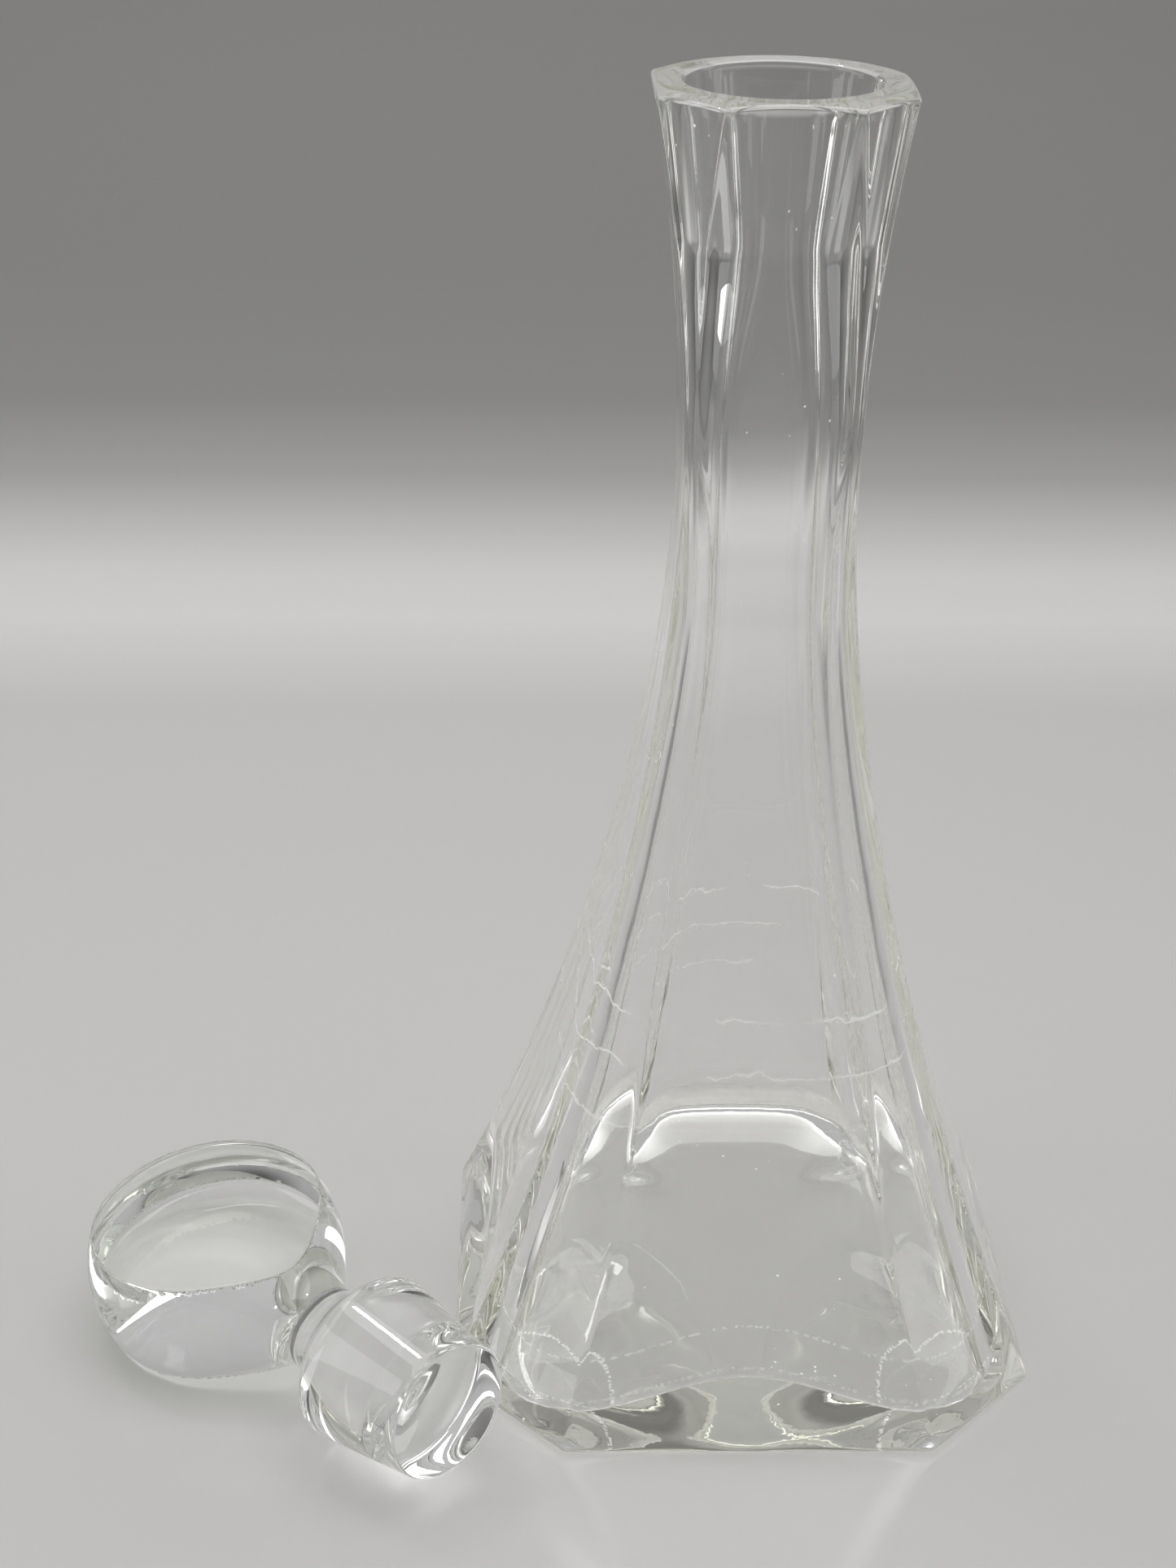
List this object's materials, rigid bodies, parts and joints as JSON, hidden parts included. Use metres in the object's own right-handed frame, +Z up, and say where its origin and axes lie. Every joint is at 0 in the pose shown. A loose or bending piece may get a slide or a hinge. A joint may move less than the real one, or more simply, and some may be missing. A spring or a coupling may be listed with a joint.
{
  "type": "glass decanter",
  "caption": "Tall square glass decanter with cut-off corners, a waisted neck and a solid ball stopper with flattened sides lying beside it.",
  "frame": {"origin": "on the table under the middle of the bottle's base", "axes": "+Z up along the bottle's axis, -Y towards the front panel of the bottle, the stopper lies to the left and in front"},
  "size_m": [0.1569, 0.11, 0.206],
  "materials": {
    "bottle_glass": "clear moulded and polished glass with a slight warm green tint in its thickness",
    "stopper_glass": "clear solid polished glass"
  },
  "bodies": {
    "bottle": {"decanter_bottle": "bottle_glass"},
    "stopper_body": {"stopper": "stopper_glass"}
  },
  "joints": [
    {"name": "stopper_lift", "type": "slide", "parent": "bottle", "child": "stopper_body", "axis": [0, 0, 1], "range_m": [0, 0.25]}
  ]
}
